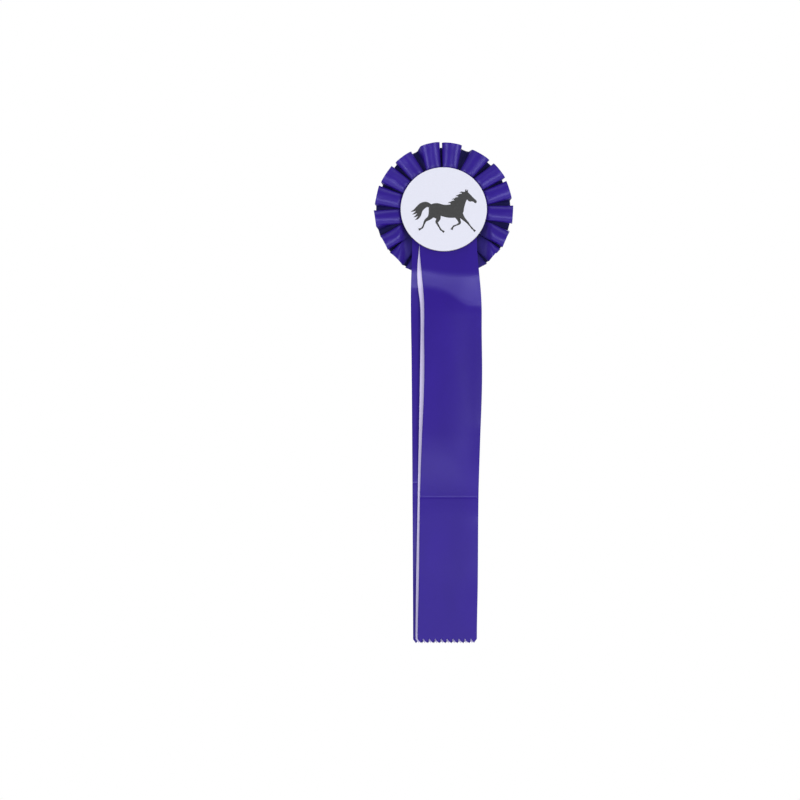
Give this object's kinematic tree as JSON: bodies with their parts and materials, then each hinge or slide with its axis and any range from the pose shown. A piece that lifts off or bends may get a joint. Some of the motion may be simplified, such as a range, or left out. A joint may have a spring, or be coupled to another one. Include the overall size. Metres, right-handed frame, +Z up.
{
  "type": "award ribbon",
  "caption": "Show rosette: a round head of box-pleated satin with a printed card centre, layered satin ribbon tails with pinked ends, and a brooch bar behind.",
  "frame": {"origin": "middle of the brooch needle, on its axis, behind the upper half of the head", "axes": "+Z up along the hanging tails, front face towards -Y, +X along the needle to its point, to the right as seen from the front"},
  "size_m": [0.096, 0.0128, 0.349],
  "materials": {
    "satin_blue": "woven satin, glossy along the ribbon",
    "satin_white": "woven satin, glossy along the ribbon",
    "label_paper": "smooth matt coated card",
    "print_ink": "matt print",
    "greyboard": "raw board",
    "foam": "closed-cell foam tape",
    "thread": "spun thread",
    "cover_card": "matt card",
    "steel_wire": "galvanised wire",
    "pin_steel": "nickel-plated",
    "needle_steel": "polished"
  },
  "bodies": {
    "head": {"centre_label": "label_paper", "printed_motif": "print_ink", "centre_board": "greyboard", "foam_pads": "foam", "ruffle": "satin_blue", "ruffle_thread": "thread", "ruffle_staples": "steel_wire", "tail_staple": "steel_wire", "backing_board": "greyboard", "back_cover": "cover_card", "pin_plate": "pin_steel", "plate_rivets": "pin_steel", "pin_rivet": "pin_steel"},
    "front_neck": {"front_tail_neck": "satin_blue"},
    "front_upper": {"front_tail_upper": "satin_blue"},
    "front_lower": {"front_tail_lower": "satin_blue"},
    "middle_neck": {"middle_tail_neck": "satin_white"},
    "middle_upper": {"middle_tail_upper": "satin_white"},
    "middle_lower": {"middle_tail_lower": "satin_white"},
    "back_neck": {"back_tail_neck": "satin_blue"},
    "back_upper": {"back_tail_upper": "satin_blue"},
    "back_lower": {"back_tail_lower": "satin_blue"},
    "needle": {"pin_needle": "needle_steel"},
    "catch": {"catch_drum": "pin_steel"}
  },
  "joints": [
    {"name": "front_fan", "type": "hinge", "parent": "head", "child": "front_neck", "pos_m": [0.0045, -0.0082, -0.024], "axis": [0, -1, 0], "range_deg": [-4, 4]},
    {"name": "middle_fan", "type": "hinge", "parent": "head", "child": "middle_neck", "pos_m": [0.0027, -0.0074, -0.024], "axis": [0, -1, 0], "range_deg": [-4, 4]},
    {"name": "back_fan", "type": "hinge", "parent": "head", "child": "back_neck", "pos_m": [-0.0022, -0.0066, -0.024], "axis": [0, -1, 0], "range_deg": [-4, 4]},
    {"name": "front_lift", "type": "hinge", "parent": "front_neck", "child": "front_upper", "pos_m": [0.0045, -0.0084, -0.045], "axis": [-1, 0, 0], "range_deg": [0, 75]},
    {"name": "middle_lift", "type": "hinge", "parent": "middle_neck", "child": "middle_upper", "pos_m": [0.0027, -0.0076, -0.05], "axis": [-1, 0, 0], "range_deg": [0, 75]},
    {"name": "back_lift", "type": "hinge", "parent": "back_neck", "child": "back_upper", "pos_m": [-0.0022, -0.0068, -0.055], "axis": [-1, 0, 0], "range_deg": [0, 75]},
    {"name": "front_fold", "type": "hinge", "parent": "front_upper", "child": "front_lower", "pos_m": [0.0045, -0.008, -0.216], "axis": [1, 0, 0], "range_deg": [0, 135]},
    {"name": "middle_fold", "type": "hinge", "parent": "middle_upper", "child": "middle_lower", "pos_m": [0.0027, -0.0072, -0.211], "axis": [1, 0, 0], "range_deg": [0, 135]},
    {"name": "back_fold", "type": "hinge", "parent": "back_upper", "child": "back_lower", "pos_m": [-0.0022, -0.0064, -0.206], "axis": [1, 0, 0], "range_deg": [0, 135]},
    {"name": "needle_swing", "type": "hinge", "parent": "head", "child": "needle", "pos_m": [-0.0125, 0, 0], "axis": [0, 0, 1], "range_deg": [0, 60]},
    {"name": "catch_turn", "type": "hinge", "parent": "head", "child": "catch", "pos_m": [0.0124, 0, 0], "axis": [1, 0, 0], "range_deg": [-110, 0]}
  ],
  "couplings": [
    {"joint": "middle_lift", "follows": "front_lift", "ratio": 1},
    {"joint": "back_lift", "follows": "front_lift", "ratio": 1},
    {"joint": "middle_fold", "follows": "front_fold", "ratio": 1},
    {"joint": "back_fold", "follows": "front_fold", "ratio": 1}
  ]
}
